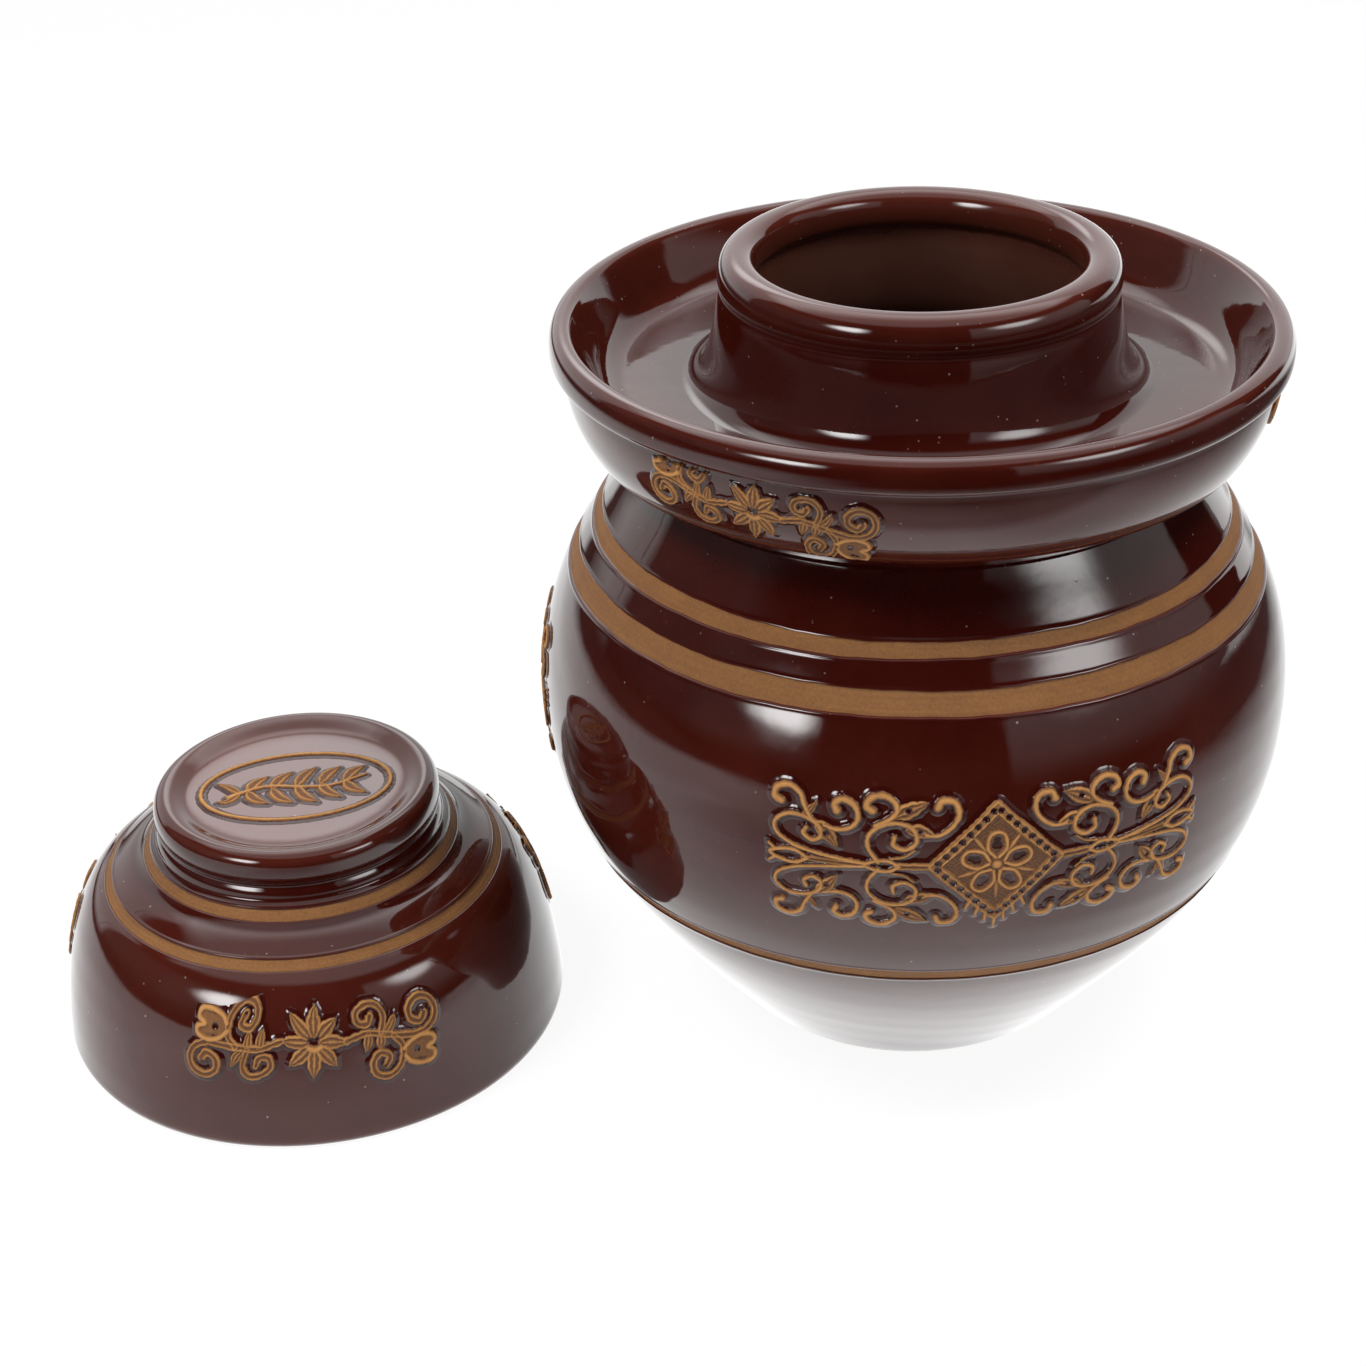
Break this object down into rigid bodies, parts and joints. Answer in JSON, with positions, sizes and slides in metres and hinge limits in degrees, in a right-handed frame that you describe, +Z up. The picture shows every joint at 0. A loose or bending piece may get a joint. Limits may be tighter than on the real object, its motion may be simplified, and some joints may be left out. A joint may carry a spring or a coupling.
{
  "type": "water seal pickle jar",
  "caption": "Round bellied glazed stoneware jar with a collar in a water channel and a bowl shaped cover standing beside it, for fermenting vegetables.",
  "frame": {"origin": "on the jar's axis, in the plane of its flat foot", "axes": "+Z up along the jar's axis; the pictured side faces -Y, and the cover stands beside the jar towards -X"},
  "size_m": [0.3296, 0.195, 0.208],
  "materials": {
    "oxblood_glaze": "gloss",
    "ochre_slip": "matte"
  },
  "bodies": {
    "jar": {"lower_body": "oxblood_glaze", "upper_body": "oxblood_glaze", "water_moat": "oxblood_glaze", "lower_band": "ochre_slip", "middle_band": "ochre_slip", "upper_band": "ochre_slip", "belly_sprig_1": "ochre_slip", "belly_sprig_2": "ochre_slip", "belly_sprig_3": "ochre_slip", "moat_sprig_1": "ochre_slip", "moat_sprig_2": "ochre_slip", "moat_sprig_3": "ochre_slip"},
    "cover": {"cover_bowl": "oxblood_glaze", "cover_inner_band": "ochre_slip", "cover_outer_band": "ochre_slip", "cover_sprig_1": "ochre_slip", "cover_sprig_2": "ochre_slip", "cover_sprig_3": "ochre_slip", "cover_medallion": "ochre_slip"}
  },
  "joints": [
    {"name": "cover_lift", "type": "slide", "parent": "jar", "child": "cover", "axis": [-0.0869, -0.0064, 0.9962], "range_m": [0, 0.22]}
  ]
}
